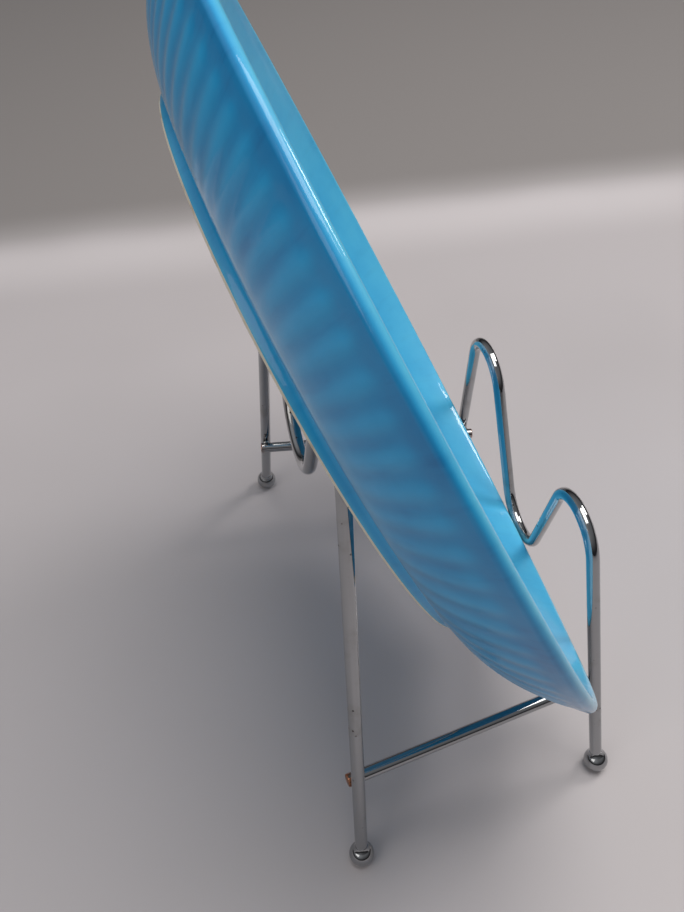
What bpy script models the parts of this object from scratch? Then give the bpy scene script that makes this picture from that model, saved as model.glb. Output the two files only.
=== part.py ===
"""Round glazed dish leaning on a bent-wire display stand.

Metres, +Z up. The dish faces +X and leans back towards -X. The stand is
symmetric about the plane Y = 0, and its four balls stand on Z = 0.
"""

import math

import bmesh
import bpy
from mathutils import Matrix, Vector

# --- stand -------------------------------------------------------------------
WIRE_RADIUS = 0.0025
FIT_GAP = 0.0003                 # clearance left between neighbouring pieces
FOOT_RADIUS = 0.005
FOOT_FLAT_RADIUS = 0.0015        # small flat ground under each ball
LEG_END_RISE = 0.0015            # end of each leg, above its ball's centre
FOOT_AHEAD = 0.0648              # front feet, along X
FOOT_BEHIND = -0.0412            # rear feet, along X
RAIL_HEIGHT = 0.0418
RAIL_OVERHANG = 0.0032           # rail's cut end, past each leg's centre line

# Each frame is one wire bent into an M. Its bends are circles in the frame's
# own plane, as (distance from the middle, height), with straight runs between.
FRONT_FRAME = {
    "foot_x": FOOT_AHEAD,
    "foot_y": 0.0913,
    "lean": -0.082,              # travel along X for each metre of height
    "hump": (0.0474, 0.1034, 0.0163),
    "dip": (0.0684, 0.0164),
}
REAR_FRAME = {
    "foot_x": FOOT_BEHIND,
    "foot_y": 0.1050,
    "lean": 0.024,
    "hump": (0.0503, 0.1677, 0.0190),
    "dip": (0.1489, 0.0224),
}

# --- dish --------------------------------------------------------------------
DISH_CENTRE = (0.0004, 0.0, 0.1804)      # middle of the circle along the rim's crest
DISH_LEAN = math.radians(24.6)
RIM_RADIUS = 0.1407
LIP_RADIUS = 0.0022
DISH_HEIGHT = 0.0314                     # foot edge to rim crest
FOOT_RING_RADIUS = 0.1007
FOOT_RING_WIDTH = 0.0042
FOOT_RING_STEP = 0.0048                  # foot edge up to where the wall springs
BASE_RECESS = 0.0030
FLOOR_THICKNESS = 0.0055
FLOOR_RADIUS = 0.0900

ARC_STEP = math.radians(11.0)
LATHE_STEPS = 96

CHROME = ((0.62, 0.62, 0.63, 1.0), 0.08, 1.0)
GLAZE = ((0.055, 0.300, 0.520, 1.0), 0.16, 0.0)


def clear_scene():
    """Remove whatever the scene holds."""
    for item in list(bpy.data.objects):
        bpy.data.objects.remove(item, do_unlink=True)


def make_material(name, look):
    """Return a Principled material from (colour, roughness, metallic)."""
    colour, roughness, metallic = look
    material = bpy.data.materials.new(name)
    material.use_nodes = True
    shader = material.node_tree.nodes["Principled BSDF"]
    shader.inputs["Base Color"].default_value = colour
    shader.inputs["Roughness"].default_value = roughness
    shader.inputs["Metallic"].default_value = metallic
    material.diffuse_color = colour
    return material


def add_object(name, mesh, look):
    """Link a mesh as a named object with a material of its own."""
    mesh.materials.clear()
    mesh.materials.append(make_material(name, look))
    mesh.shade_smooth()
    mesh.set_sharp_from_angle(angle=math.radians(40))
    item = bpy.data.objects.new(name, mesh)
    bpy.context.scene.collection.objects.link(item)
    return item


def arc_points(centre, radius, start, end):
    """Points along a circle from angle start to angle end, ends included."""
    steps = max(3, math.ceil(abs(end - start) / ARC_STEP))
    turns = [start + (end - start) * i / steps for i in range(steps + 1)]
    return [
        (centre[0] + radius * math.cos(a), centre[1] + radius * math.sin(a))
        for a in turns
    ]


def leg_tangent_angle(foot, centre, radius):
    """Angle on the hump circle where the straight leg from the foot meets it."""
    away = (foot[0] - centre[0], foot[1] - centre[1])
    spread = math.acos(radius / math.hypot(*away))
    return math.atan2(away[1], away[0]) + spread


def frame_outline(frame):
    """Right half and left half of the M as (y, z) points, foot to foot."""
    hump_y, hump_z, hump_radius = frame["hump"]
    dip_z, dip_radius = frame["dip"]
    foot = (frame["foot_y"], foot_height())
    rise = hump_z - dip_z
    # The straight run between hump and dip crosses the line of their centres.
    slope = math.atan2(rise, hump_y)
    spread = math.acos((hump_radius + dip_radius) / math.hypot(hump_y, rise))
    leave_dip = slope - spread
    leave_hump = leave_dip + math.pi
    meet_leg = leg_tangent_angle(foot, (hump_y, hump_z), hump_radius)
    half = arc_points((hump_y, hump_z), hump_radius, meet_leg, leave_hump)
    half += arc_points((0.0, dip_z), dip_radius, leave_dip, -math.pi / 2)
    return half + [(-y, z) for y, z in reversed(half[:-1])]


def foot_height():
    """Height of a ball's centre above the floor, with its flat on the floor."""
    return math.sqrt(FOOT_RADIUS**2 - FOOT_FLAT_RADIUS**2)


def frame_point(frame, y, z):
    """Place a point of a frame's outline on its leaning plane."""
    return Vector((frame["foot_x"] + frame["lean"] * (z - foot_height()), y, z))


def foot_point(frame, side):
    """Centre of one ball of a frame; side is -1 or 1."""
    return frame_point(frame, side * frame["foot_y"], foot_height())


def leg_direction(frame, side):
    """Unit vector up a leg, from its ball to the start of the hump."""
    outline = frame_outline(frame)
    y, z = outline[0]
    return (frame_point(frame, side * y, z) - foot_point(frame, side)).normalized()


def wire_mesh(name, points):
    """Solid round wire through the points, with flat cut ends."""
    curve = bpy.data.curves.new(name, "CURVE")
    curve.dimensions = "3D"
    curve.bevel_depth = WIRE_RADIUS
    curve.bevel_resolution = 4
    curve.use_fill_caps = True
    spline = curve.splines.new("POLY")
    spline.points.add(len(points) - 1)
    for spot, place in zip(spline.points, points):
        spot.co = (*place, 1.0)
    guide = bpy.data.objects.new(name + "_guide", curve)
    bpy.context.scene.collection.objects.link(guide)
    graph = bpy.context.evaluated_depsgraph_get()
    mesh = bpy.data.meshes.new_from_object(guide.evaluated_get(graph))
    bpy.data.objects.remove(guide, do_unlink=True)
    mesh.name = name
    tidy_mesh(mesh)
    return mesh


def tidy_mesh(mesh):
    """Weld coincident points and turn every face outwards."""
    work = bmesh.new()
    work.from_mesh(mesh)
    bmesh.ops.remove_doubles(work, verts=work.verts, dist=1e-6)
    bmesh.ops.recalc_face_normals(work, faces=work.faces)
    work.to_mesh(mesh)
    work.free()


def bent_frame(name, frame):
    """One M-shaped wire, standing in the sockets of its two balls."""
    right_end = foot_point(frame, 1) + leg_direction(frame, 1) * LEG_END_RISE
    left_end = foot_point(frame, -1) + leg_direction(frame, -1) * LEG_END_RISE
    middle = [frame_point(frame, y, z) for y, z in frame_outline(frame)]
    return add_object(name, wire_mesh(name, [right_end, *middle, left_end]), CHROME)


def leg_crossing(frame, side):
    """Centre of a leg at the height of the side rails."""
    base = foot_point(frame, side)
    up = leg_direction(frame, side)
    return base + up * ((RAIL_HEIGHT - base.z) / up.z)


def side_rail(name, side):
    """Straight wire laid against the inner side of a front and a rear leg."""
    rear = leg_crossing(REAR_FRAME, side)
    front = leg_crossing(FRONT_FRAME, side)
    along = (front - rear).normalized()
    ends = []
    for frame, crossing in ((REAR_FRAME, rear), (FRONT_FRAME, front)):
        # Sideways step that leaves the two slanting wires just clear of each other.
        square = leg_direction(frame, side).cross(along)
        inset = (2 * WIRE_RADIUS + FIT_GAP) * square.length / abs(square.y)
        ends.append(crossing - Vector((0.0, side * inset, 0.0)))
    ends = [ends[0] - along * RAIL_OVERHANG, ends[1] + along * RAIL_OVERHANG]
    return add_object(name, wire_mesh(name, ends), CHROME)


def lathe(name, outline, steps):
    """Solid of revolution about local Z from (radius, height) points."""
    work = bmesh.new()
    verts = [work.verts.new((radius, 0.0, height)) for radius, height in outline]
    edges = [work.edges.new(pair) for pair in zip(verts, verts[1:])]
    bmesh.ops.spin(
        work,
        geom=verts + edges,
        cent=(0.0, 0.0, 0.0),
        axis=(0.0, 0.0, 1.0),
        angle=math.tau,
        steps=steps,
        use_merge=True,
    )
    bmesh.ops.remove_doubles(work, verts=work.verts, dist=1e-6)
    bmesh.ops.recalc_face_normals(work, faces=work.faces)
    mesh = bpy.data.meshes.new(name)
    work.to_mesh(mesh)
    work.free()
    return mesh


def ball_foot(name, frame, side):
    """Ball with a flat underneath and a blind socket for the leg's end."""
    low = -math.acos(FOOT_FLAT_RADIUS / FOOT_RADIUS)
    outline = [(0.0, -foot_height())]
    outline += arc_points((0.0, 0.0), FOOT_RADIUS, low, math.pi / 2)
    item = add_object(name, lathe(name, outline, 24), CHROME)
    item.location = foot_point(frame, side)

    socket_start = LEG_END_RISE - FIT_GAP
    work = bmesh.new()
    bmesh.ops.create_cone(
        work,
        cap_ends=True,
        segments=16,
        radius1=(WIRE_RADIUS + FIT_GAP) / math.cos(math.pi / 16),
        radius2=(WIRE_RADIUS + FIT_GAP) / math.cos(math.pi / 16),
        depth=FOOT_RADIUS,
        matrix=Matrix.Translation((0.0, 0.0, socket_start + FOOT_RADIUS / 2)),
    )
    mesh = bpy.data.meshes.new(name + "_socket")
    work.to_mesh(mesh)
    work.free()
    cutter = bpy.data.objects.new(name + "_socket", mesh)
    cutter.location = item.location
    cutter.rotation_mode = "QUATERNION"
    cutter.rotation_quaternion = leg_direction(frame, side).to_track_quat("Z", "Y")
    cutter.hide_render = True
    cutter.display_type = "WIRE"
    bpy.context.scene.collection.objects.link(cutter)
    cut = item.modifiers.new("leg_socket", "BOOLEAN")
    cut.operation = "DIFFERENCE"
    cut.solver = "EXACT"
    cut.object = cutter
    return item


def dish_outline():
    """Section of the dish as (radius, height), with the rim's crest at height 0."""
    foot_edge = -DISH_HEIGHT
    base = foot_edge + BASE_RECESS
    ring_inner = FOOT_RING_RADIUS - FOOT_RING_WIDTH
    outline = [
        (0.0, base),
        (ring_inner - 0.0012, base),
        (ring_inner - 0.0003, foot_edge + 0.0008),
        (ring_inner + 0.0005, foot_edge),
        (FOOT_RING_RADIUS - 0.0007, foot_edge),
        (FOOT_RING_RADIUS, foot_edge + 0.0008),
        (FOOT_RING_RADIUS + 0.0004, foot_edge + FOOT_RING_STEP - 0.0010),
    ]
    # The outer wall leaves the foot almost level and steepens into the lip.
    wall_start = (FOOT_RING_RADIUS + 0.0019, foot_edge + FOOT_RING_STEP)
    lip_centre = (RIM_RADIUS - LIP_RADIUS, -LIP_RADIUS)
    lip_start = math.radians(-43.0)
    wall_end = (
        lip_centre[0] + LIP_RADIUS * math.cos(lip_start),
        lip_centre[1] + LIP_RADIUS * math.sin(lip_start),
    )
    wall_rows = 9
    for i in range(wall_rows):
        share = i / wall_rows
        radius = wall_start[0] + (wall_end[0] - wall_start[0]) * share
        height = wall_start[1] + (wall_end[1] - wall_start[1]) * share**2
        outline.append((radius, height))
    # Rolled lip, from the outer wall over the crest to the inner wall.
    outline += arc_points(lip_centre, LIP_RADIUS, lip_start, math.radians(150.0))
    # The inner wall runs down to the flat floor.
    inner_top = outline[-1]
    floor = base + FLOOR_THICKNESS
    inner_rows = 7
    for i in range(1, inner_rows + 1):
        share = 1.0 - i / inner_rows
        radius = FLOOR_RADIUS + (inner_top[0] - FLOOR_RADIUS) * share
        height = floor + (inner_top[1] - floor) * share**2
        outline.append((radius, height))
    outline.append((0.0, floor))
    return outline


def make_dish():
    """The dish, its origin at the middle of the rim and its face to +X."""
    mesh = lathe("dish", dish_outline(), LATHE_STEPS)
    item = add_object("dish", mesh, GLAZE)
    # Local +Z is the way the dish faces: ahead along +X and up by the lean.
    item.rotation_euler = (0.0, math.pi / 2 - DISH_LEAN, 0.0)
    item.location = DISH_CENTRE
    return item


def main():
    clear_scene()
    bent_frame("front_frame", FRONT_FRAME)
    bent_frame("rear_frame", REAR_FRAME)
    for side, hand in ((-1, "left"), (1, "right")):
        side_rail(hand + "_side_rail", side)
        ball_foot("front_" + hand + "_foot", FRONT_FRAME, side)
        ball_foot("rear_" + hand + "_foot", REAR_FRAME, side)
    make_dish()


main()
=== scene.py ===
"""Round turquoise stoneware dish leaning in a chrome-plated wire stand.

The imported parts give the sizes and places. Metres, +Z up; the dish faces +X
and leans back towards -X.
"""

import logging
import math
from dataclasses import dataclass, field
from enum import Enum

import bmesh
import bpy
from mathutils import Euler, Matrix, Vector, noise


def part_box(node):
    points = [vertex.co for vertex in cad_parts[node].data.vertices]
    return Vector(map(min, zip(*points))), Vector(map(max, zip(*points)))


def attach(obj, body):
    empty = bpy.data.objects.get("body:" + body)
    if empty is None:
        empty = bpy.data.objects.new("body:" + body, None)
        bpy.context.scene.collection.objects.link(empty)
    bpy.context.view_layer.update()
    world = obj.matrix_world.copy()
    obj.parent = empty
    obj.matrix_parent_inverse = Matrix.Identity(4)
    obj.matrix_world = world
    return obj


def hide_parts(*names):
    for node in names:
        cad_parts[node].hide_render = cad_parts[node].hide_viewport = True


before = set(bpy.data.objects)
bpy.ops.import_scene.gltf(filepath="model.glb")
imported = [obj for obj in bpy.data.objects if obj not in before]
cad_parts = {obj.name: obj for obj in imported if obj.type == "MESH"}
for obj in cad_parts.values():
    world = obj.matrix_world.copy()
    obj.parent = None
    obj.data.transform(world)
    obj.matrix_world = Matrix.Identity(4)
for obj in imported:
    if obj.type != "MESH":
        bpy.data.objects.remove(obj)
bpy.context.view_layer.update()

LOG = logging.getLogger("dish_on_stand")
MM = 0.001
INSET = 0.01 * MM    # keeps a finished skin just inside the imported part's box
Colour = tuple[float, float, float, float]
Section = list[tuple[float, float]]
Tree = bpy.types.NodeTree
Node = bpy.types.Node
Socket = bpy.types.NodeSocket


class Body(Enum):
    """Moving groups that a piece can ride on."""

    STAND = "stand"
    DISH = "dish"


class Slot(Enum):
    """Material slot names; nothing in the script uses them."""

    GLAZE = "glaze"
    WIRE = "chrome_wire"
    BALL = "chrome_ball"


class Side(Enum):
    """Hand of a piece, as the sign of its place along Y."""

    LEFT = -1
    RIGHT = 1


# --- materials ---


def linear(hex_colour: str) -> Colour:
    """Turn an sRGB hex colour into linear values.

    Args:
        hex_colour: Colour written as "#rrggbb".

    Returns:
        Red, green, blue and an alpha of 1.
    """
    shares = [int(hex_colour[i : i + 2], 16) / 255 for i in (1, 3, 5)]
    lit = [s / 12.92 if s <= 0.04045 else ((s + 0.055) / 1.055) ** 2.4 for s in shares]
    return (lit[0], lit[1], lit[2], 1.0)


def add_node(
    tree: Tree, kind: str, settings: dict | None = None, inputs: dict | None = None
) -> Node:
    """Add one node with its settings, fixed inputs and links.

    Args:
        tree: Node tree that gets the node.
        kind: Node type name.
        settings: Attribute values of the node.
        inputs: Values or output sockets for its inputs, by name or number.

    Returns:
        The new node.
    """
    node = tree.nodes.new(kind)
    for name, value in (settings or {}).items():
        setattr(node, name, value)
    for name, value in (inputs or {}).items():
        if isinstance(value, Socket):
            tree.links.new(value, node.inputs[name])
        else:
            node.inputs[name].default_value = value
    return node


def blend_colours(tree: Tree, share: object, first: object, second: object) -> Socket:
    """Mix two colours by a share.

    Args:
        tree: Node tree that gets the mix.
        share: Socket or number, 0 for the first colour and 1 for the second.
        first: Colour or socket.
        second: Colour or socket.

    Returns:
        Socket with the mixed colour.
    """
    mix = add_node(tree, "ShaderNodeMix", {"data_type": "RGBA"}, {0: share, 6: first, 7: second})
    return mix.outputs[2]


def ease(
    tree: Tree, value: Socket, low: float, high: float, to: tuple[float, float] = (0, 1)
) -> Socket:
    """Map a value smoothly from a range to another, held at both ends.

    Args:
        tree: Node tree that gets the node.
        value: Socket to map.
        low: Value that becomes to[0].
        high: Value that becomes to[1].
        to: Range of the result.

    Returns:
        Socket with the mapped value.
    """
    node = add_node(
        tree,
        "ShaderNodeMapRange",
        {"interpolation_type": "SMOOTHSTEP"},
        {0: value, 1: low, 2: high, 3: to[0], 4: to[1]},
    )
    return node.outputs[0]


def combine(tree: Tree, how: str, first: object, second: object, clamp: bool = False) -> Socket:
    """Combine two values with a Math node.

    Args:
        tree: Node tree that gets the node.
        how: Operation of the node.
        first: Socket or number.
        second: Socket or number.
        clamp: True to hold the result between 0 and 1.

    Returns:
        Socket with the result.
    """
    settings = {"operation": how, "use_clamp": clamp}
    return add_node(tree, "ShaderNodeMath", settings, {0: first, 1: second}).outputs[0]


def times(tree: Tree, first: object, second: object) -> Socket:
    """Return the product of two values, each a socket or a number."""
    return combine(tree, "MULTIPLY", first, second)


def layer_value(tree: Tree, name: str, output: str = "Fac") -> Socket:
    """Return the socket of a value that the mesh carries in a layer."""
    return add_node(tree, "ShaderNodeAttribute", {"attribute_name": name}).outputs[output]


def noise_at(tree: Tree, place: Socket, size: float, detail: float, **extra: float) -> Socket:
    """Add a noise pattern whose features have a real size.

    Args:
        tree: Node tree that gets the node.
        place: Socket with the point's place.
        size: Size of the features, in the place's unit.
        detail: Octaves of finer noise.
        extra: Other inputs of the node, by name.

    Returns:
        Socket with the noise value.
    """
    inputs = {"Vector": place, "Scale": 1 / size, "Detail": detail, **extra}
    return add_node(tree, "ShaderNodeTexNoise", None, inputs).outputs[0]


def speckle(
    tree: Tree, place: Socket, size: float, chosen: tuple[float, float], rim: tuple[float, float]
) -> Socket:
    """Scatter round dots, one in each chosen cell of a real size.

    Args:
        tree: Node tree that gets the nodes.
        place: Socket with the point's place.
        size: Width of a cell in metres.
        chosen: Random cell values where dots start and where all cells have one.
        rim: Distances from a dot's middle, in cells, where it ends and where it is full.

    Returns:
        Socket with 1 on a dot and 0 off it.
    """
    cells = add_node(tree, "ShaderNodeTexVoronoi", None, {"Vector": place, "Scale": 1 / size})
    few = ease(tree, cells.outputs["Color"], *chosen)
    return times(tree, ease(tree, cells.outputs["Distance"], *rim), few)


def press_bump(tree: Tree, shader: Node, height: Socket, strength: float, depth: float) -> Socket:
    """Press a bump into a shader's surface.

    Args:
        tree: Node tree that gets the node.
        shader: Principled shader that gets the bump.
        height: Socket with the bump's height.
        strength: Share of the bump that shows.
        depth: Depth of the bump in metres.

    Returns:
        Socket with the bumped normal.
    """
    inputs = {"Strength": strength, "Distance": depth, "Height": height}
    bump = add_node(tree, "ShaderNodeBump", None, inputs).outputs[0]
    tree.links.new(bump, shader.inputs["Normal"])
    return bump


@dataclass(frozen=True)
class Finish:
    """A surface finish; each kind fills in its own nodes."""

    label: str = "finish"

    def material(self) -> bpy.types.Material:
        """Make the finish's material on first use.

        Returns:
            The material, the same one each time.
        """
        known = bpy.data.materials.get(self.label)
        if known:
            return known
        material = bpy.data.materials.new(self.label)
        material.use_nodes = True
        tree = material.node_tree
        place = add_node(tree, "ShaderNodeTexCoord").outputs["Object"]
        self.fill(tree, tree.nodes["Principled BSDF"], place)
        return material

    def fill(self, tree: Tree, shader: Node, place: Socket) -> None:
        """Wire this finish's nodes into the shader.

        Args:
            tree: Node tree of the material.
            shader: Its Principled shader.
            place: Socket with the point's place in metres.
        """
        raise NotImplementedError


@dataclass(frozen=True)
class GlazedStoneware(Finish):
    """Stoneware dipped in a clear turquoise glaze and fired glossy.

    The glaze runs thinner and pale over crests and edges, pools deep blue in the
    hollows, and its melted skin gives sharp highlights over a soft body. The
    lip's crest also carries a painted highlight, the inside wall near the rim
    painted light, and the band under the lip and the lip's underside painted
    shade.
    """

    label: str = "turquoise_glazed_stoneware"
    thin_glaze_and_light: str = "#6ccbe6"
    body: str = "#30aee8"
    deep: str = "#187cbc"
    pooled_and_shaded: str = "#0f5891"
    burst: str = "#0e3a5c"
    centre: tuple[float, float, float] = (0.0, 0.0, 0.0)
    lean: float = 0.0
    mottle_mm: float = 22.0
    ripple_mm: float = 3.2
    pinhole_mm: float = 7.0
    mottling: float = 0.20
    pooling_and_shade: float = 0.70
    running: float = 0.14
    skin_depth: float = 0.10 * MM

    def fill(self, tree: Tree, shader: Node, place: Socket) -> None:
        """Wire the mottled colour, glaze that pools deeper, painted shade, painted light and the
        glassy skin.

        Args:
            tree: Node tree of the material.
            shader: Its Principled shader.
            place: Socket with the point's place in metres.
        """
        on_dish = add_node(
            tree,
            "ShaderNodeMapping",
            {"vector_type": "TEXTURE"},
            {0: place, 1: self.centre, 2: (0.0, math.pi / 2 - self.lean, 0.0)},
        ).outputs[0]
        mottle = noise_at(tree, on_dish, self.mottle_mm * MM, 4.0, Roughness=0.55)
        # Glaze runs: noise drawn out along the wall by squeezing the turn angle.
        streaks = noise_at(tree, layer_value(tree, "turn", "Vector"), 1.0, 3.0)
        depth = times(tree, ease(tree, mottle, 0.32, 0.70), self.mottling)
        # Darker where glaze pools in the flute valleys and the dish's well; the same layer adds
        # painted shade under the lip and a darker tone towards the foot's groove.
        depth = combine(tree, "ADD", depth, times(tree, layer_value(tree, "pool_and_shade"), self.pooling_and_shade))
        runs = times(tree, ease(tree, streaks, 0.50, 0.72), self.running)
        depth = combine(tree, "ADD", depth, runs, clamp=True)
        colour = blend_colours(tree, depth, linear(self.body), linear(self.deep))
        # The darkest blue comes where glaze pools deepest and where painted shade falls under the
        # lip.
        pooled_and_shaded = ease(tree, depth, 0.70, 1.6)
        colour = blend_colours(tree, pooled_and_shaded, colour, linear(self.pooled_and_shaded))
        # Paler where glaze runs thinner on the foot's edge; on the lip's crest this is also a
        # painted highlight, and on the inside wall near the rim painted light.
        patchy_paleness = ease(tree, mottle, 0.2, 0.75, (0.95, 0.55))
        pale_glaze_and_light = times(tree, layer_value(tree, "edge"), patchy_paleness)
        colour = blend_colours(tree, pale_glaze_and_light, colour, linear(self.thin_glaze_and_light))
        # Pinholes: a few tiny burst bubbles, each a dark dimple.
        hole = speckle(tree, on_dish, self.pinhole_mm * MM, (0.80, 0.86), (0.045, 0.02))
        colour = blend_colours(tree, times(tree, hole, 0.7), colour, linear(self.burst))
        tree.links.new(colour, shader.inputs["Base Color"])
        rough = ease(tree, mottle, 0.3, 0.7, (0.34, 0.46))
        tree.links.new(rough, shader.inputs["Roughness"])
        shader.inputs["IOR"].default_value = 1.5
        shader.inputs["Specular IOR Level"].default_value = 0.2
        shader.inputs["Coat Weight"].default_value = 0.7
        shader.inputs["Coat Roughness"].default_value = 0.045
        shader.inputs["Coat IOR"].default_value = 1.5
        ripple = noise_at(tree, on_dish, self.ripple_mm * MM, 1.5)
        height = combine(tree, "ADD", times(tree, ripple, 0.35), times(tree, streaks, 0.9))
        height = combine(tree, "SUBTRACT", height, times(tree, hole, 1.2))
        skin = press_bump(tree, shader, height, 0.55, self.skin_depth)
        tree.links.new(skin, shader.inputs["Coat Normal"])


@dataclass(frozen=True)
class BareStoneware(Finish):
    """Fired clay wiped clean of glaze on the foot's edge: cream, dry and gritty."""

    label: str = "bare_stoneware_foot"
    clay: str = "#e6dfcc"
    toasted: str = "#b9a184"
    speck: str = "#6f5a45"
    patch_mm: float = 9.0
    speck_mm: float = 1.6
    grit_mm: float = 0.5

    def fill(self, tree: Tree, shader: Node, place: Socket) -> None:
        """Wire toasted patches, iron specks and a sandy bump.

        Args:
            tree: Node tree of the material.
            shader: Its Principled shader.
            place: Socket with the point's place in metres.
        """
        patch = noise_at(tree, place, self.patch_mm * MM, 3.0)
        toast = ease(tree, patch, 0.5, 0.8)
        colour = blend_colours(tree, toast, linear(self.clay), linear(self.toasted))
        dot = speckle(tree, place, self.speck_mm * MM, (0.78, 0.86), (0.22, 0.1))
        colour = blend_colours(tree, dot, colour, linear(self.speck))
        tree.links.new(colour, shader.inputs["Base Color"])
        tree.links.new(ease(tree, patch, 0.2, 0.8, (0.72, 0.9)), shader.inputs["Roughness"])
        press_bump(tree, shader, noise_at(tree, place, self.grit_mm * MM, 2.0), 0.5, 0.08 * MM)


@dataclass(frozen=True)
class ChromePlate(Finish):
    """Steel wire with bright nickel-chrome plating.

    A near mirror: cold grey with sharp dark and white bands, a haze in
    patches, and dark pits where rust has come through.
    """

    label: str = "bright_chrome_plated_wire"
    plate: str = "#a6a8aa"
    hazed: str = "#85837e"
    pit: str = "#3b3029"
    copper: str = "#b0714e"
    pit_mm: float = 2.4
    haze_mm: float = 16.0
    skin_mm: float = 1.4
    roughness: float = 0.06
    pitting: float = 1.0

    def fill(self, tree: Tree, shader: Node, place: Socket) -> None:
        """Wire the haze, pits and the copper tinge at the cut ends.

        Args:
            tree: Node tree of the material.
            shader: Its Principled shader.
            place: Socket with the point's place in metres.
        """
        haze = noise_at(tree, place, self.haze_mm * MM, 5.0, Roughness=0.6)
        misty = ease(tree, haze, 0.52, 0.74)
        dull = times(tree, misty, 0.6)
        colour = blend_colours(tree, dull, linear(self.plate), linear(self.hazed))
        spot = speckle(tree, place, self.pit_mm * MM, (0.45, 0.60), (0.21, 0.10))
        spot = times(tree, spot, ease(tree, haze, 0.50, 0.60))
        spot = times(tree, spot, self.pitting)
        colour = blend_colours(tree, spot, colour, linear(self.pit))
        bare = ease(tree, haze, 0.3, 0.6, (0.75, 1.0))
        tinge = times(tree, layer_value(tree, "cut_end"), bare)
        colour = blend_colours(tree, tinge, colour, linear(self.copper))
        tree.links.new(colour, shader.inputs["Base Color"])
        shader.inputs["Metallic"].default_value = 1.0
        rough = ease(tree, misty, 0.0, 1.0, (self.roughness, self.roughness + 0.10))
        rough = combine(tree, "ADD", rough, times(tree, spot, 0.45))
        rough = combine(tree, "ADD", rough, times(tree, tinge, 0.20))
        tree.links.new(rough, shader.inputs["Roughness"])
        # The plating skin is a little uneven, drawn coarser than life to show.
        skin = noise_at(tree, place, self.skin_mm * MM, 3.0)
        height = combine(tree, "SUBTRACT", skin, times(tree, spot, 1.5))
        press_bump(tree, shader, height, 0.35, 0.025 * MM)


@dataclass(frozen=True)
class ShearedWireEnd(Finish):
    """Sheared end of the wire: copper flash and raw steel, dull and brownish."""

    label: str = "sheared_copper_flashed_steel"
    copper: str = "#b97a58"
    steel: str = "#6d5a4d"
    mark_mm: float = 1.1

    def fill(self, tree: Tree, shader: Node, place: Socket) -> None:
        """Wire the shear marks between copper and steel.

        Args:
            tree: Node tree of the material.
            shader: Its Principled shader.
            place: Socket with the point's place in metres.
        """
        marks = noise_at(tree, place, self.mark_mm * MM, 4.0, Distortion=0.6)
        raw = ease(tree, marks, 0.40, 0.62)
        colour = blend_colours(tree, raw, linear(self.copper), linear(self.steel))
        tree.links.new(colour, shader.inputs["Base Color"])
        shader.inputs["Metallic"].default_value = 1.0
        tree.links.new(ease(tree, marks, 0.3, 0.7, (0.34, 0.55)), shader.inputs["Roughness"])
        press_bump(tree, shader, marks, 0.6, 0.08 * MM)


@dataclass(frozen=True)
class PlatedWeld(Finish):
    """Resistance weld squeezed out between two wires, plated over: lumpy and greyer."""

    label: str = "plated_resistance_weld"
    plate: str = "#b9bab9"
    burnt: str = "#4a4642"
    lump_mm: float = 0.9

    def fill(self, tree: Tree, shader: Node, place: Socket) -> None:
        """Wire the scorched hollows and a lumpy bump.

        Args:
            tree: Node tree of the material.
            shader: Its Principled shader.
            place: Socket with the point's place in metres.
        """
        lumps = noise_at(tree, place, self.lump_mm * MM, 3.0)
        scorch = ease(tree, lumps, 0.52, 0.68)
        colour = blend_colours(tree, scorch, linear(self.plate), linear(self.burnt))
        tree.links.new(colour, shader.inputs["Base Color"])
        shader.inputs["Metallic"].default_value = 1.0
        tree.links.new(ease(tree, lumps, 0.3, 0.7, (0.16, 0.40)), shader.inputs["Roughness"])
        press_bump(tree, shader, lumps, 0.7, 0.12 * MM)


@dataclass(frozen=True)
class GreySweep(Finish):
    """Pale grey satin vinyl with a painted highlight on a fold, and painted shade behind it."""

    label: str = "pale_grey_satin_vinyl"
    pale: str = "#bbb6b8"
    shade: str = "#8b8786"
    fold_highlight: str = "#d0cbcd"
    fold_y: float = 0.3622
    fold_slope: float = -0.0595
    fold_wave: float = 0.02
    fold_highlight_share: float = 0.75
    wave_mm: float = 200.0
    grain_mm: float = 0.8

    def fill(self, tree: Tree, shader: Node, place: Socket) -> None:
        """Wire the painted highlight on the fold, the painted shade behind it, soft blotches and a
        faint grain.

        Args:
            tree: Node tree of the material.
            shader: Its Principled shader.
            place: Socket with the point's place in metres.
        """
        axes = add_node(tree, "ShaderNodeSeparateXYZ", None, {0: place})
        line = times(tree, axes.outputs[0], self.fold_slope)
        behind = combine(tree, "SUBTRACT", axes.outputs[1], line)
        behind = combine(tree, "SUBTRACT", behind, self.fold_y)
        wave = noise_at(tree, place, self.wave_mm * MM, 2.0)
        sway = times(tree, combine(tree, "SUBTRACT", wave, 0.5), self.fold_wave)
        behind = combine(tree, "ADD", behind, sway)
        # Painted shade: the floor behind the fold turns darker, standing in for a shaded backdrop.
        dark = ease(tree, behind, 0.0, 0.075)
        colour = blend_colours(tree, dark, linear(self.pale), linear(self.shade))
        # Painted highlight: a paler line along the fold, where the sheet would catch the light.
        ridge = times(tree, ease(tree, behind, -0.06, -0.002), ease(tree, behind, 0.04, 0.0))
        colour = blend_colours(tree, times(tree, ridge, self.fold_highlight_share), colour, linear(self.fold_highlight))
        # Soft random blotches darken the vinyl's tone here and there.
        cloud = ease(tree, wave, 0.35, 0.7, (0.0, 0.10))
        colour = blend_colours(tree, cloud, colour, linear(self.shade))
        tree.links.new(colour, shader.inputs["Base Color"])
        shader.inputs["Roughness"].default_value = 0.55
        press_bump(tree, shader, noise_at(tree, place, self.grain_mm * MM, 2.0), 0.15, 0.03 * MM)


# --- shop tools ---


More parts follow.
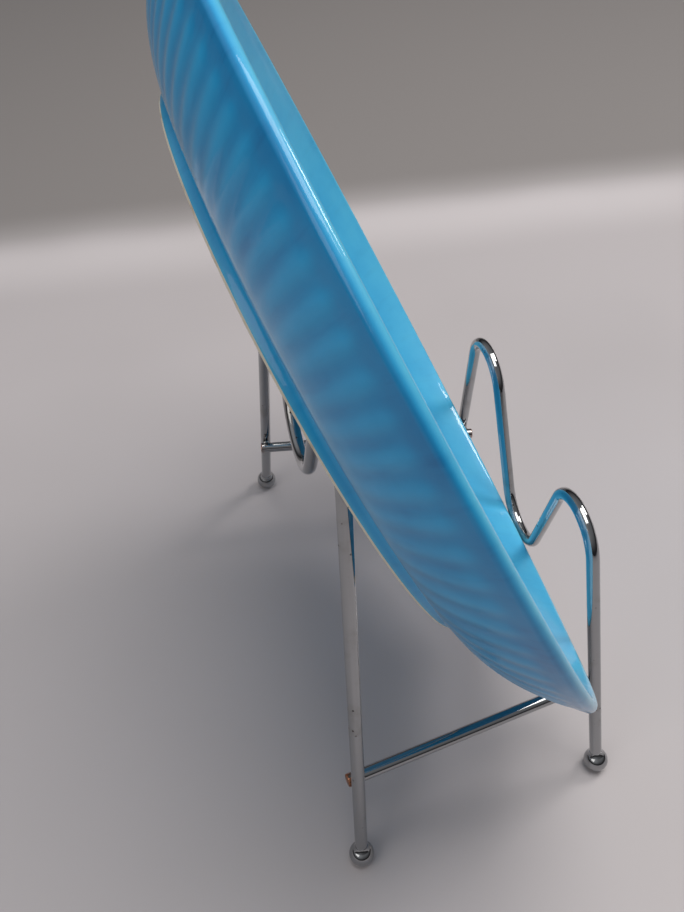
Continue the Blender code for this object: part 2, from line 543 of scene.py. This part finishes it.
def smooth(low: float, high: float, value: float) -> float:
    """Return an eased share of value between low and high, held at 0 and 1."""
    share = min(1.0, max(0.0, (value - low) / (high - low)))
    return share * share * (3 - 2 * share)


def arc(
    centre: tuple[float, float], radius: float, start: float, end: float, steps: int
) -> Section:
    """Return points along a circle.

    Args:
        centre: Middle of the circle.
        radius: Its radius.
        start: First angle in degrees.
        end: Last angle in degrees.
        steps: Number of steps between them.

    Returns:
        Points with both ends included.
    """
    middle, height = centre
    turns = [math.radians(start + (end - start) * i / steps) for i in range(steps + 1)]
    return [(middle + radius * math.cos(a), height + radius * math.sin(a)) for a in turns]


def on_circle(y: float, z: float, radius: float, angle: float) -> Vector:
    """Return the point of a circle in the YZ plane at an angle in radians."""
    return Vector((0.0, y + radius * math.cos(angle), z + radius * math.sin(angle)))


def soften(points: Section, rounds: int) -> Section:
    """Round a section's corners by cutting them, with its ends kept.

    Args:
        points: Corner points.
        rounds: Times that the corners are cut.

    Returns:
        The rounder section.
    """
    for _ in range(rounds):
        cut = [points[0]]
        for (ax, ay), (bx, by) in zip(points, points[1:]):
            cut.append((ax * 0.75 + bx * 0.25, ay * 0.75 + by * 0.25))
            cut.append((ax * 0.25 + bx * 0.75, ay * 0.25 + by * 0.75))
        cut.append(points[-1])
        points = cut
    return points


def close_mesh(work: bmesh.types.BMesh) -> None:
    """Merge doubled points and turn every face outwards."""
    bmesh.ops.remove_doubles(work, verts=work.verts, dist=1e-6)
    bmesh.ops.recalc_face_normals(work, faces=work.faces)


def turn_section(section: Section, steps: int, closed: bool = False) -> bmesh.types.BMesh:
    """Turn a section about local Z.

    Args:
        section: (radius, height) points.
        steps: Steps of the full turn.
        closed: True for a section that runs back to its first point.

    Returns:
        Mesh of the turned solid.
    """
    work = bmesh.new()
    verts = [work.verts.new((radius, 0.0, height)) for radius, height in section]
    pairs = list(zip(verts, verts[1:])) + ([(verts[-1], verts[0])] if closed else [])
    edges = [work.edges.new(pair) for pair in pairs]
    middle, axis = (0.0, 0.0, 0.0), (0.0, 0.0, 1.0)
    bmesh.ops.spin(
        work, geom=verts + edges, cent=middle, axis=axis, angle=math.tau, steps=steps,
        use_merge=True,
    )
    close_mesh(work)
    return work


def join_mesh(work: bmesh.types.BMesh, other: bmesh.types.BMesh) -> None:
    """Add another mesh's shells to a mesh.

    Args:
        work: Mesh that grows.
        other: Mesh to add. It is freed.
    """
    mesh = bpy.data.meshes.new("joined")
    other.to_mesh(mesh)
    other.free()
    work.from_mesh(mesh)
    bpy.data.meshes.remove(mesh)


def make_piece(
    name: str,
    work: bmesh.types.BMesh,
    finishes: list[Finish],
    body: Body,
    nodes: tuple[str, ...] = (),
    crease: float = 35.0,
) -> bpy.types.Object:
    """Turn a mesh into a finished piece that rides on a body.

    Args:
        name: Name of the piece.
        work: Its mesh, at its final place. It is freed.
        finishes: Finishes, in the order of the mesh's material numbers.
        body: Body that it rides on.
        nodes: CAD nodes that it stands for.
        crease: Angle in degrees above which an edge is shaded sharp.

    Returns:
        The new object.
    """
    mesh = bpy.data.meshes.new(name)
    work.to_mesh(mesh)
    work.free()
    for finish in finishes:
        mesh.materials.append(finish.material())
    mesh.shade_smooth()
    mesh.set_sharp_from_angle(angle=math.radians(crease))
    piece = bpy.data.objects.new(name, mesh)
    bpy.context.scene.collection.objects.link(piece)
    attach(piece, body.value)
    if nodes:
        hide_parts(*nodes)
    report_piece(piece, nodes)
    return piece


def report_piece(piece: bpy.types.Object, nodes: tuple[str, ...]) -> None:
    """Log a piece and how far its box stands from its nodes' boxes.

    Args:
        piece: Finished piece.
        nodes: CAD nodes that it stands for.
    """
    places = [Vector(corner) for corner in piece.bound_box]
    low = [min(p[i] for p in places) for i in range(3)]
    high = [max(p[i] for p in places) for i in range(3)]
    gap = 0.0
    for node in nodes:
        node_low, node_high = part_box(node)
        gaps = [abs(a - b) for a, b in zip([*low, *high], [*node_low, *node_high])]
        gap = max(gap, *gaps)
    count = len(piece.data.polygons)
    LOG.info("%s: %d faces, box off by %.2f mm", piece.name, count, gap / MM)


class WireRun:
    """Draws a round wire: a start ring, then straight runs and bends in turn."""

    def __init__(self, radius: float, start: Vector, along: Vector, segments: int = 32) -> None:
        """Place the start ring with its end face.

        Args:
            radius: Wire radius.
            start: Middle of the ring.
            along: Direction that the wire leaves in.
            segments: Sides of the ring.
        """
        self.work = bmesh.new()
        place = Matrix.Translation(start) @ along.to_track_quat("Z", "Y").to_matrix().to_4x4()
        bmesh.ops.create_circle(
            self.work, cap_ends=True, radius=radius, segments=segments, matrix=place
        )
        self.ring = list(self.work.edges)

    def straight(self, travel: Vector, cuts: int = 1) -> None:
        """Draw the wire straight on.

        Args:
            travel: Direction and length of the run.
            cuts: Number of equal steps.
        """
        for _ in range(cuts):
            made = bmesh.ops.extrude_edge_only(self.work, edges=self.ring)["geom"]
            self.keep_ring(made)
            verts = [v for v in made if isinstance(v, bmesh.types.BMVert)]
            bmesh.ops.translate(self.work, verts=verts, vec=travel / cuts)

    def bend(self, centre: Vector, axis: Vector, angle: float, step: float = 4.0) -> None:
        """Bend the wire round a point.

        Args:
            centre: Middle of the bend.
            axis: Axis of the bend.
            angle: Turn in radians, signed about the axis.
            step: Largest step in degrees.
        """
        verts = list({v for edge in self.ring for v in edge.verts})
        steps = max(4, math.ceil(abs(math.degrees(angle)) / step))
        made = bmesh.ops.spin(
            self.work, geom=verts + self.ring, cent=centre, axis=axis, angle=angle, steps=steps
        )
        self.keep_ring(made["geom_last"])

    def keep_ring(self, made: list) -> None:
        """Remember the free ring at the wire's far end.

        Args:
            made: Vertices, edges and faces that the last step made.
        """
        fresh = {v for v in made if isinstance(v, bmesh.types.BMVert)}
        edges = [e for e in made if isinstance(e, bmesh.types.BMEdge)]
        self.ring = [e for e in edges if e.verts[0] in fresh and e.verts[1] in fresh]

    def close(self) -> bmesh.types.BMesh:
        """Put the end face on the free ring.

        Returns:
            The closed mesh.
        """
        bmesh.ops.edgeloop_fill(self.work, edges=self.ring)
        close_mesh(self.work)
        return self.work


# --- the dish ---


@dataclass
class Dish:
    """Wide shallow dish with a rolled lip, fluted wall and turned foot ring."""

    lean: float = math.radians(24.6)
    lip_radius: float = 2.2 * MM
    height: float = 31.4 * MM
    foot_radius: float = 100.7 * MM
    foot_width: float = 4.2 * MM
    foot_step: float = 4.8 * MM
    recess: float = 3.0 * MM
    floor_thickness: float = 5.5 * MM
    floor_radius: float = 90.0 * MM
    lip_start: float = -43.0
    lip_end: float = 150.0
    flutes: int = 96
    flute_phase: float = 0.18
    flute_depth: float = 0.36 * MM
    flute_fade_in: tuple[float, float] = (0.15, 0.65)
    flute_fade_out: tuple[float, float] = (1.0, 0.90)
    flute_reach: float = 0.985
    tip_round: float = 0.12
    wobble: float = 0.25
    streaks_per_flute: float = 2.4
    streak_stretch: float = 90.0
    steps_per_flute: int = 9
    wall_step: float = 1.9 * MM
    wall_rows: int = 34
    lip_steps: int = 18
    floor_rows: int = 15
    rim_radius: float = field(init=False)
    centre: Vector = field(init=False)

    def __post_init__(self) -> None:
        """Find the rim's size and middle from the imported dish's box."""
        low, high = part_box("dish")
        self.rim_radius = (high[1] - low[1]) / 2
        rise, run = math.sin(self.lean), math.cos(self.lean)
        spread = (self.rim_radius - self.lip_radius) * rise
        self.centre = Vector(
            (
                high[0] + self.lip_radius * run - spread - self.lip_radius,
                (low[1] + high[1]) / 2,
                (low[2] + high[2]) / 2 + self.lip_radius * rise,
            )
        )

    def lip_centre(self) -> tuple[float, float]:
        """Return the middle of the lip's round as (radius, height)."""
        return (self.rim_radius - self.lip_radius, -self.lip_radius)

    def wall_ends(self) -> tuple[tuple[float, float], tuple[float, float]]:
        """Find where the outer wall leaves the foot ring and meets the lip.

        Returns:
            Its lower and its upper end, each as (radius, height).
        """
        start = (self.foot_radius + self.wall_step, -self.height + self.foot_step)
        lip = arc(self.lip_centre(), self.lip_radius, self.lip_start, self.lip_end, 1)
        return start, lip[0]

    def wall_point(self, share: float) -> tuple[float, float]:
        """Return the outer wall's point at a share of its width."""
        (r0, h0), (r1, h1) = self.wall_ends()
        return (r0 + (r1 - r0) * share, h0 + (h1 - h0) * share**2)

    def section(self) -> Section:
        """Draw the whole section, from the base's middle round to the floor's middle.

        Returns:
            Its points as (radius, height).
        """
        edge = -self.height
        bevel = 0.8 * MM
        base = edge + self.recess
        inner = self.foot_radius - self.foot_width
        ring = [
            (inner - 4.0 * MM, base),
            (inner - 1.2 * MM, base),
            (inner - 0.3 * MM, edge + bevel),
            (inner + 0.5 * MM, edge),
            (self.foot_radius - 0.7 * MM, edge),
            (self.foot_radius, edge + bevel),
            (self.foot_radius + 0.4 * MM, edge + self.foot_step - 1.0 * MM),
            self.wall_point(0.0),
            self.wall_point(1 / self.wall_rows),
        ]
        points = [(0.0, base), (30 * MM, base), (60 * MM, base), (85 * MM, base)]
        points += soften(ring, 2)
        points += [self.wall_point(i / self.wall_rows) for i in range(2, self.wall_rows)]
        lip_radius = self.lip_radius - INSET
        points += arc(self.lip_centre(), lip_radius, self.lip_start, self.lip_end, self.lip_steps)
        top = points[-1]
        floor = base + self.floor_thickness
        for i in range(1, self.floor_rows + 1):
            share = 1 - i / self.floor_rows
            radius = self.floor_radius + (top[0] - self.floor_radius) * share
            points.append((radius, floor + (top[1] - floor) * share**2))
        return points + [(70 * MM, floor), (45 * MM, floor), (20 * MM, floor), (0.0, floor)]

    def crest(self, share: float, turn: float) -> float:
        """Return how far a wall point is up on a flute's crest.

        Args:
            share: Place on the wall, 0 at the foot and 1 at the lip.
            turn: Angle about the dish's axis in radians.

        Returns:
            1 on a crest, 0 in the valleys and on the smooth band under the lip.
        """
        phase = turn / math.tau * self.flutes - self.flute_phase
        off = phase - round(phase)
        ridge = 0.5 + 0.5 * math.cos(math.tau * off)
        sag = 1 - math.sqrt(max(0.0, 1 - (2 * off) ** 2))
        tip = self.flute_reach - self.tip_round * sag
        return ridge * smooth(tip, tip - self.tip_round, share)

    def carve(self, work: bmesh.types.BMesh) -> None:
        """Cut the flutes into the outer wall, note where glaze pools or runs thinner, and lay
        painted shade and painted light near the lip.

        Args:
            work: Turned dish, lying flat with its axis along Z.
        """
        pool_and_shade = work.verts.layers.float.new("pool_and_shade")
        edge = work.verts.layers.float.new("edge")
        turn_layer = work.verts.layers.float_vector.new("turn")
        swing = self.flutes * self.streaks_per_flute / math.tau
        lip_middle, lip_height = self.lip_centre()
        (r0, h0), (r1, h1) = self.wall_ends()
        for vert in work.verts:
            radius = math.hypot(vert.co.x, vert.co.y)
            turn = math.atan2(vert.co.y, vert.co.x) if radius > 1e-6 else 0.0
            height = vert.co.z
            share = (radius - r0) / (r1 - r0)
            wall_height = h0 + (h1 - h0) * max(0.0, share) ** 2
            outside = height < wall_height + 0.6 * MM and share > -0.1
            east, north = math.cos(turn), math.sin(turn)
            vert[turn_layer] = (east * swing, north * swing, radius * self.streak_stretch)
            # The lip's crest is paler: glaze running thinner there, widened and brightened as a
            # painted highlight.
            vert[edge] = 0.8 * smooth(lip_height * 0.9, lip_height * 0.15, height)
            # Painted shade: the lip's underside is darkened.
            if share > 1.0:
                vert[pool_and_shade] = 0.75 * smooth(lip_height * 0.7, lip_height * 1.2, height)
            if outside and 0 <= share <= 1.001:
                crest = self.crest(share, turn)
                hand = noise.noise(Vector((east * 9, north * 9, share * 3)))
                cut = self.flute_depth * (1 + self.wobble * hand) * (1 - crest)
                cut *= smooth(*self.flute_fade_in, share) * smooth(*self.flute_fade_out, share)
                slope = Vector((r1 - r0, 2 * (h1 - h0) * share)).normalized()
                vert.co += Vector((-slope.y * east, -slope.y * north, slope.x)) * cut
                # Painted shade: a darker band on the wall just under the lip.
                band = smooth(0.86, 0.97, share) * 0.25
                vert[pool_and_shade] = min(1.0, (1 - crest) * 0.60 * smooth(0.12, 0.60, share) + band)
                # Darker towards the groove where the wall meets the foot ring.
                vert[pool_and_shade] = max(vert[pool_and_shade], 0.9 * smooth(0.05, 0.0, share))
            elif outside and share < 0:
                rise = (height + self.height) / self.foot_step
                vert[edge] = 0.55 * smooth(0.55, 0.1, rise)
                # Darker towards the groove at the top of the foot ring's wall.
                vert[pool_and_shade] = 0.8 * smooth(0.75, 1.0, rise)
            elif not outside and height > -self.height + self.recess + 1 * MM:
                deep = smooth(self.floor_radius + 12 * MM, self.floor_radius * 0.6, radius)
                vert[pool_and_shade] = max(vert[pool_and_shade], 0.55 * deep)
                # Painted light: the inside wall is made paler towards the rim.
                if radius < lip_middle:
                    upper = smooth(lip_middle - 32 * MM, lip_middle - 2 * MM, radius)
                    vert[edge] = max(vert[edge], 0.62 * upper)

    def wipe_foot(self, work: bmesh.types.BMesh) -> None:
        """Give the foot's edge the bare clay.

        Args:
            work: Turned dish, lying flat with its axis along Z.
        """
        for face in work.faces:
            middle = face.calc_center_median()
            radius = math.hypot(middle.x, middle.y)
            if middle.z < -self.height + 0.75 * MM and radius > self.foot_radius - 6 * MM:
                face.material_index = 1

    def build(self) -> bpy.types.Object:
        """Turn, flute, glaze and place the dish.

        Returns:
            The dish piece.
        """
        work = turn_section(self.section(), self.flutes * self.steps_per_flute)
        self.carve(work)
        self.wipe_foot(work)
        turned = Euler((0.0, math.pi / 2 - self.lean, 0.0)).to_matrix().to_4x4()
        work.transform(Matrix.Translation(self.centre) @ turned)
        bmesh.ops.recalc_face_normals(work, faces=work.faces)
        glaze = GlazedStoneware(centre=tuple(self.centre), lean=self.lean)
        return make_piece(
            "glazed_dish", work, [glaze, BareStoneware()], Body.DISH, ("dish",), 60.0
        )


# --- the stand ---


@dataclass
class WireFrame:
    """One round wire bent into an M: two humps with a low dip between them."""

    name: str
    node: str
    foot: str
    lean: float
    hump_y: float
    hump_radius: float
    dip_z: float
    dip_radius: float
    wire_radius: float = 2.5 * MM
    ball_radius: float = 5.0 * MM
    leg_rise: float = 1.5 * MM
    foot_x: float = field(init=False)
    foot_y: float = field(init=False)
    foot_z: float = field(init=False)
    hump_z: float = field(init=False)

    def __post_init__(self) -> None:
        """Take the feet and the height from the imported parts."""
        low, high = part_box(f"{self.foot}_right_foot")
        self.foot_x = (low[0] + high[0]) / 2
        self.foot_y = (low[1] + high[1]) / 2
        self.foot_z = high[2] - self.ball_radius
        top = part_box(self.node)[1][2]
        self.hump_z = top - self.hump_radius - self.wire_radius

    def tilt(self) -> Matrix:
        """Return the turn that leans the frame's plane over its feet."""
        place = Matrix.Translation((self.foot_x, 0.0, self.foot_z))
        return place @ Matrix.Rotation(math.atan(self.lean), 4, "Y")

    def in_plane(self, height: float) -> float:
        """Return how far up the leaning plane a height is."""
        return (height - self.foot_z) * math.hypot(1.0, self.lean)

    def angles(self) -> tuple[float, float, float]:
        """Return the angles where leg, hump and dip pass into each other.

        Returns:
            Angle on the hump where the leg meets it, angle on the hump where
            the wire leaves for the dip, and the matching angle on the dip.
        """
        hump, dip = self.in_plane(self.hump_z), self.in_plane(self.dip_z)
        away = (self.foot_y - self.hump_y, -hump)
        meet = math.atan2(away[1], away[0]) + math.acos(self.hump_radius / math.hypot(*away))
        rise = hump - dip
        spread = math.acos((self.hump_radius + self.dip_radius) / math.hypot(self.hump_y, rise))
        leave_dip = math.atan2(rise, self.hump_y) - spread
        return meet, leave_dip + math.pi, leave_dip

    def leg_direction(self, side: Side) -> Vector:
        """Find the way up a leg.

        Args:
            side: Hand of the leg.

        Returns:
            Unit vector along the leg.
        """
        meet = self.angles()[0]
        flat = Vector((0.0, -math.sin(meet) * side.value, math.cos(meet)))
        return (self.tilt().to_3x3() @ flat).normalized()

    def foot_point(self, side: Side) -> Vector:
        """Return the middle of a leg's ball."""
        return Vector((self.foot_x, self.foot_y * side.value, self.foot_z))

    def leg_point(self, side: Side, height: float) -> Vector:
        """Return the leg's centre line at a height."""
        start, up = self.foot_point(side), self.leg_direction(side)
        return start + up * ((height - start.z) / up.z)

    def build(self) -> bpy.types.Object:
        """Draw the wire from its right foot to its left and dress it.

        Returns:
            The frame piece.
        """
        meet, leave_hump, leave_dip = self.angles()
        hump, dip = self.in_plane(self.hump_z), self.in_plane(self.dip_z)
        hump_radius, dip_radius = self.hump_radius, self.dip_radius
        up = Vector((0.0, -math.sin(meet), math.cos(meet)))
        down = Vector((0.0, up.y, -up.z))
        axis = Vector((1.0, 0.0, 0.0))
        foot = Vector((0.0, self.foot_y, 0.0))
        start = foot + up * self.leg_rise
        leg = (on_circle(self.hump_y, hump, hump_radius, meet) - start).length
        off_hump = on_circle(self.hump_y, hump, hump_radius, leave_hump)
        inner = off_hump - on_circle(0.0, dip, dip_radius, leave_dip)
        wire = WireRun(self.wire_radius, start, up)
        wire.straight(up * leg, 12)
        wire.bend(Vector((0.0, self.hump_y, hump)), axis, leave_hump - meet)
        wire.straight(-inner, 4)
        wire.bend(Vector((0.0, 0.0, dip)), axis, -2 * (leave_dip + math.pi / 2))
        wire.straight(Vector((0.0, -inner.y, inner.z)), 4)
        wire.bend(Vector((0.0, -self.hump_y, hump)), axis, leave_hump - meet)
        wire.straight(down * leg, 12)
        work = wire.close()
        work.transform(self.tilt())
        nodes = (self.node,)
        return make_piece(self.name, work, [ChromePlate()], Body.STAND, nodes)


@dataclass
class SideRail:
    """Straight wire laid along the inner side of the legs, sheared at both ends."""

    side: Side
    rear: WireFrame
    front: WireFrame
    rear_tinge: float
    height: float = 41.8 * MM
    overhang: float = 3.2 * MM
    clearance: float = 0.3 * MM
    burr: float = 0.35 * MM
    tinge_length: float = 2.6 * MM
    front_tinge: float = 0.10

    def crossings(self) -> tuple[Vector, Vector]:
        """Find where the rail's centre line passes the legs.

        Returns:
            Its points beside the rear leg and beside the front leg.
        """
        rear = self.rear.leg_point(self.side, self.height)
        front = self.front.leg_point(self.side, self.height)
        along = (front - rear).normalized()
        made = []
        for owner, leg in ((self.rear, rear), (self.front, front)):
            square = owner.leg_direction(self.side).cross(along)
            reach = 2 * owner.wire_radius + self.clearance
            inset = reach * square.length / abs(square.y)
            made.append(leg - Vector((0.0, self.side.value * inset, 0.0)))
        return made[0], made[1]

    def build(self) -> bpy.types.Object:
        """Draw the rail, round its sheared ends and dress it.

        Returns:
            The rail piece.
        """
        rear, front = self.crossings()
        along = (front - rear).normalized()
        start = rear - along * self.overhang
        end = front + along * self.overhang
        wire = WireRun(self.rear.wire_radius, start, along)
        tip = self.tinge_length * 1.6
        for run in (tip, (end - start).length - 2 * tip, tip):
            wire.straight(along * run, 6)
        work = wire.close()
        work.faces.ensure_lookup_table()
        caps = [face for face in work.faces if len(face.verts) > 4]
        for cap in caps:
            cap.material_index = 1
        rims = list({edge for cap in caps for edge in cap.edges})
        bmesh.ops.bevel(
            work, geom=rims, offset=self.burr, segments=3, profile=0.5, affect="EDGES", material=1
        )
        tinge = work.verts.layers.float.new("cut_end")
        ends = ((start, along, self.rear_tinge), (end, -along, self.front_tinge))
        for vert in work.verts:
            for place, way, share in ends:
                reach = (vert.co - place).dot(way)
                vert[tinge] += share * smooth(self.tinge_length, self.tinge_length * 0.4, reach)
        bmesh.ops.recalc_face_normals(work, faces=work.faces)
        hand = self.side.name.lower()
        nodes = (f"{hand}_side_rail",)
        finishes = [ChromePlate(), ShearedWireEnd()]
        return make_piece(f"{hand}_rail", work, finishes, Body.STAND, nodes)


@dataclass
class BallFoot:
    """Ball pressed on a leg's end, with a narrow braze collar and a ground flat."""

    side: Side
    owner: WireFrame

    def build(self) -> bpy.types.Object:
        """Turn the ball, grind its flat, add its collar and dress it.

        Returns:
            The foot piece.
        """
        owner = self.owner
        radius = owner.ball_radius
        work = bmesh.new()
        bmesh.ops.create_uvsphere(work, u_segments=48, v_segments=32, radius=radius - INSET / 2)
        cut = bmesh.ops.bisect_plane(
            work,
            geom=work.verts[:] + work.edges[:] + work.faces[:],
            dist=1e-7,
            plane_co=(0.0, 0.0, -owner.foot_z),
            plane_no=(0.0, 0.0, -1.0),
            clear_outer=True,
        )["geom_cut"]
        bmesh.ops.edgeloop_fill(work, edges=[e for e in cut if isinstance(e, bmesh.types.BMEdge)])
        close_mesh(work)
        wire = owner.wire_radius
        seat = math.sqrt(radius**2 - wire**2)
        collar = [
            (wire - 0.2 * MM, seat - 0.9 * MM),
            (wire + 0.95 * MM, seat - 0.75 * MM),
            (wire + 0.50 * MM, seat - 0.10 * MM),
            (wire + 0.22 * MM, seat + 0.45 * MM),
            (wire + 0.05 * MM, seat + 0.90 * MM),
            (wire - 0.2 * MM, seat + 0.92 * MM),
        ]
        ring = turn_section(collar, 32, closed=True)
        up = owner.leg_direction(self.side)
        ring.transform(up.to_track_quat("Z", "Y").to_matrix().to_4x4())
        join_mesh(work, ring)
        work.transform(Matrix.Translation(owner.foot_point(self.side)))
        name = f"{owner.foot}_{self.side.name.lower()}"
        finish = ChromePlate(label="bright_chrome_plated_ball", roughness=0.045, pitting=0.35)
        nodes = (f"{name}_foot",)
        return make_piece(f"{name}_ball", work, [finish], Body.STAND, nodes)


@dataclass
class RailWeld:
    """Metal squeezed out where a rail is resistance-welded to a leg."""

    rail: SideRail
    owner: WireFrame
    reach: float = 2.1 * MM
    thickness: float = 0.95 * MM
    lumpiness: float = 0.10

    def build(self) -> bpy.types.Object:
        """Shape the lens of weld metal between the two wires.

        Returns:
            The weld piece.
        """
        side = self.rail.side
        rear, front = self.rail.crossings()
        beside = rear if self.owner is self.rail.rear else front
        leg = self.owner.leg_point(side, self.rail.height)
        middle = (beside + leg) / 2
        work = bmesh.new()
        bmesh.ops.create_uvsphere(work, u_segments=24, v_segments=16, radius=1.0)
        for vert in work.verts:
            vert.co *= 1 + self.lumpiness * noise.noise(vert.co * 2.3 + middle / MM)
        across = (leg - beside).to_track_quat("Z", "Y").to_matrix().to_4x4()
        shape = Matrix.Diagonal((self.reach, self.reach, self.thickness, 1.0))
        work.transform(Matrix.Translation(middle) @ across @ shape)
        close_mesh(work)
        name = f"{self.owner.foot}_{side.name.lower()}_weld"
        return make_piece(name, work, [PlatedWeld()], Body.STAND)


@dataclass
class DisplayStand:
    """The whole wire stand: two bent frames, two rails, four balls and the welds."""

    front: WireFrame = field(
        default_factory=lambda: WireFrame(
            name="front_wire", node="front_frame", foot="front", lean=-0.082,
            hump_y=47.4 * MM, hump_radius=16.3 * MM, dip_z=68.4 * MM, dip_radius=16.4 * MM,
        )
    )
    rear: WireFrame = field(
        default_factory=lambda: WireFrame(
            name="rear_wire", node="rear_frame", foot="rear", lean=0.024,
            hump_y=50.3 * MM, hump_radius=19.0 * MM, dip_z=148.9 * MM, dip_radius=22.4 * MM,
        )
    )
    left_tinge: float = 0.9
    right_tinge: float = 0.15

    def build(self) -> list[bpy.types.Object]:
        """Build every piece of the stand.

        Returns:
            The pieces in order.
        """
        pieces = [self.front.build(), self.rear.build()]
        for side in Side:
            tinge = self.left_tinge if side is Side.LEFT else self.right_tinge
            rail = SideRail(side, self.rear, self.front, rear_tinge=tinge)
            pieces.append(rail.build())
            for owner in (self.front, self.rear):
                pieces.append(BallFoot(side, owner).build())
                pieces.append(RailWeld(rail, owner).build())
        return pieces


# --- the studio ---


@dataclass(frozen=True)
class Softbox:
    """One rectangular soft light, aimed at a point."""

    name: str
    place: tuple[float, float, float]
    aim: tuple[float, float, float]
    size: tuple[float, float]
    power: float
    tint: str

    def build(self) -> bpy.types.Object:
        """Hang the light.

        Returns:
            The light's object.
        """
        lamp = bpy.data.lights.new(self.name, "AREA")
        lamp.shape = "RECTANGLE"
        lamp.size, lamp.size_y = self.size
        lamp.energy = self.power
        lamp.color = linear(self.tint)[:3]
        item = bpy.data.objects.new(self.name, lamp)
        item.location = self.place
        look = Vector(self.aim) - Vector(self.place)
        item.rotation_euler = look.to_track_quat("-Z", "Y").to_euler()
        bpy.context.scene.collection.objects.link(item)
        return item


@dataclass
class Studio:
    """Floor, lights, surroundings and camera."""

    camera_place: tuple[float, float, float] = (-0.07635, -0.23973, 0.36611)
    camera_yaw: float = -0.2238
    camera_pitch: float = 0.7866
    camera_roll: float = -0.0218
    lens_mm: float = 35.41
    sensor_mm: float = 36.0
    clip_start: float = 0.01
    floor_width: float = 12.0
    room_low: str = "#343335"
    room_high: str = "#8f8f91"
    room_left: str = "#c4c5c7"
    room_strength: float = 0.8

    def floor(self) -> bpy.types.Object:
        """Lay the sweep's floor under the feet.

        Returns:
            The floor's object.
        """
        work = bmesh.new()
        bmesh.ops.create_grid(work, x_segments=24, y_segments=24, size=self.floor_width / 2)
        mesh = bpy.data.meshes.new("sweep_floor")
        work.to_mesh(mesh)
        work.free()
        mesh.materials.append(GreySweep().material())
        floor = bpy.data.objects.new("sweep_floor", mesh)
        bpy.context.scene.collection.objects.link(floor)
        return floor

    def surroundings(self) -> None:
        """Set a room that is dark along the horizon and pale above, palest at the left."""
        world = bpy.data.worlds.new("studio_room")
        bpy.context.scene.world = world
        world.use_nodes = True
        tree = world.node_tree
        back = tree.nodes["Background"]
        way = add_node(tree, "ShaderNodeTexCoord").outputs["Generated"]
        axes = add_node(tree, "ShaderNodeSeparateXYZ", None, {0: way})
        up = ease(tree, axes.outputs[2], 0.05, 0.75)
        colour = blend_colours(tree, up, linear(self.room_low), linear(self.room_high))
        left = times(tree, ease(tree, axes.outputs[0], 0.2, -0.8), up)
        colour = blend_colours(tree, left, colour, linear(self.room_left))
        tree.links.new(colour, back.inputs["Color"])
        back.inputs["Strength"].default_value = self.room_strength

    def lights(self) -> None:
        """Hang the softboxes."""
        boxes = (
            Softbox("top_box", (0.24, 0.02, 1.60), (0.0, 0.0, 0.05), (1.0, 1.0), 15.0, "#fffcf8"),
            Softbox("front_box", (1.15, 0.45, 1.1), (0.0, 0.0, 0.15), (0.5, 0.35), 7.5, "#fffaf6"),
            Softbox("side_box", (-1.0, -0.55, 0.95), (0.0, 0.0, 0.2), (0.8, 0.8), 2.6, "#fffaf5"),
        )
        for box in boxes:
            box.build()

    def camera(self) -> bpy.types.Object:
        """Set the camera.

        Returns:
            The camera's object.
        """
        lens = bpy.data.cameras.new("camera")
        lens.lens = self.lens_mm
        lens.sensor_width = self.sensor_mm
        lens.clip_start = self.clip_start
        camera = bpy.data.objects.new("camera", lens)
        bpy.context.scene.collection.objects.link(camera)
        turn = (
            Matrix.Rotation(self.camera_yaw, 4, "Z")
            @ Matrix.Rotation(math.pi / 2 - self.camera_pitch, 4, "X")
            @ Matrix.Rotation(self.camera_roll, 4, "Z")
        )
        camera.matrix_world = Matrix.Translation(self.camera_place) @ turn
        bpy.context.scene.camera = camera
        return camera

    def build(self) -> None:
        """Build the whole studio."""
        self.floor()
        self.surroundings()
        self.lights()
        self.camera()
        bpy.context.scene.view_settings.view_transform = "Standard"


def main() -> None:
    """Build the dish, the stand and the studio in order."""
    logging.basicConfig(level=logging.INFO, format="%(name)s: %(message)s")
    Dish().build()
    pieces = DisplayStand().build()
    LOG.info("stand has %d pieces", len(pieces))
    Studio().build()


if __name__ == "__main__":
    main()
